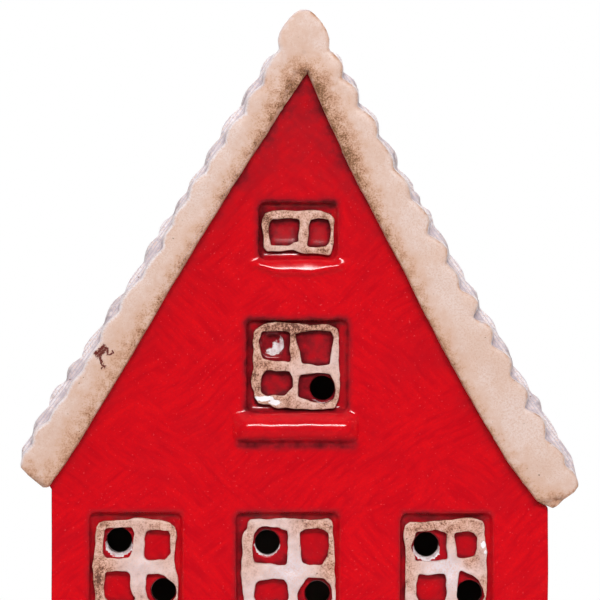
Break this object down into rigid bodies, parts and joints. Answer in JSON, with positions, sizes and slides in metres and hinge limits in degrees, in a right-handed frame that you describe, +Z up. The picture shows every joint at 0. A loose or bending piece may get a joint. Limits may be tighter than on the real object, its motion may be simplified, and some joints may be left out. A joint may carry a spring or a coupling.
{
  "type": "light-up christmas house",
  "caption": "Glazed ceramic gabled house with drilled window holes, a rear arch and a battery tealight that slides in to light it.",
  "frame": {"origin": "on the table under the middle of the house", "axes": "+Z up, the window front faces -Y, +X to the right seen from the front"},
  "size_m": [0.1294, 0.09, 0.205],
  "materials": {
    "red_glaze": "glossy deep red glaze, brushed on",
    "cream_glaze": "satin cream glaze with a brown wash",
    "roof_glaze": "satin off-white glaze with a brown wash",
    "door_glaze": "glossy dark red glaze",
    "bare_clay": "unglazed white clay",
    "felt": "pressed felt",
    "cup_plastic": "satin moulded",
    "base_plastic": "satin moulded",
    "flame_plastic": "frosted, lets the light through",
    "led_epoxy": "clear cast resin",
    "slider_plastic": "satin moulded",
    "contact_brass": "stamped strip",
    "steel": "bright plated"
  },
  "bodies": {
    "house": {"front_wall": "red_glaze", "back_wall": "red_glaze", "side_wall_left": "red_glaze", "side_wall_right": "red_glaze", "floor_slab": "bare_clay", "roof_slope_left": "roof_glaze", "roof_slope_right": "roof_glaze", "ridge_cap": "roof_glaze", "attic_window_frame": "cream_glaze", "loft_window_frame": "cream_glaze", "upper_window_frame_left": "cream_glaze", "upper_window_frame_centre": "cream_glaze", "upper_window_frame_right": "cream_glaze", "ground_window_frame_left": "cream_glaze", "ground_window_frame_right": "cream_glaze", "attic_sill": "red_glaze", "loft_sill": "red_glaze", "upper_sill_left": "red_glaze", "upper_sill_centre": "red_glaze", "upper_sill_right": "red_glaze", "ground_sill_left": "red_glaze", "ground_sill_right": "red_glaze", "door_frame": "cream_glaze", "front_door": "door_glaze", "door_knob": "cream_glaze", "doorstep": "cream_glaze", "felt_pads": "felt"},
    "tealight": {"tealight_cup": "cup_plastic", "tealight_base": "base_plastic", "base_screws": "steel", "led_holder": "base_plastic", "led": "led_epoxy", "flame_tip": "flame_plastic", "contact_plus": "contact_brass", "contact_minus": "contact_brass", "switch_blade": "contact_brass"},
    "switch": {"switch_slider": "slider_plastic"},
    "battery_door": {"battery_cover": "base_plastic", "coin_cell": "steel"}
  },
  "joints": [
    {"name": "tealight_slide", "type": "slide", "parent": "house", "child": "tealight", "axis": [0, 1, 0], "range_m": [0, 0.064]},
    {"name": "switch_slide", "type": "slide", "parent": "tealight", "child": "switch", "axis": [1, 0, 0], "range_m": [0, 0.0025]},
    {"name": "battery_cover_turn", "type": "hinge", "parent": "tealight", "child": "battery_door", "pos_m": [0, 0, 0.008], "axis": [0, 0, 1], "range_deg": [0, 30]}
  ]
}
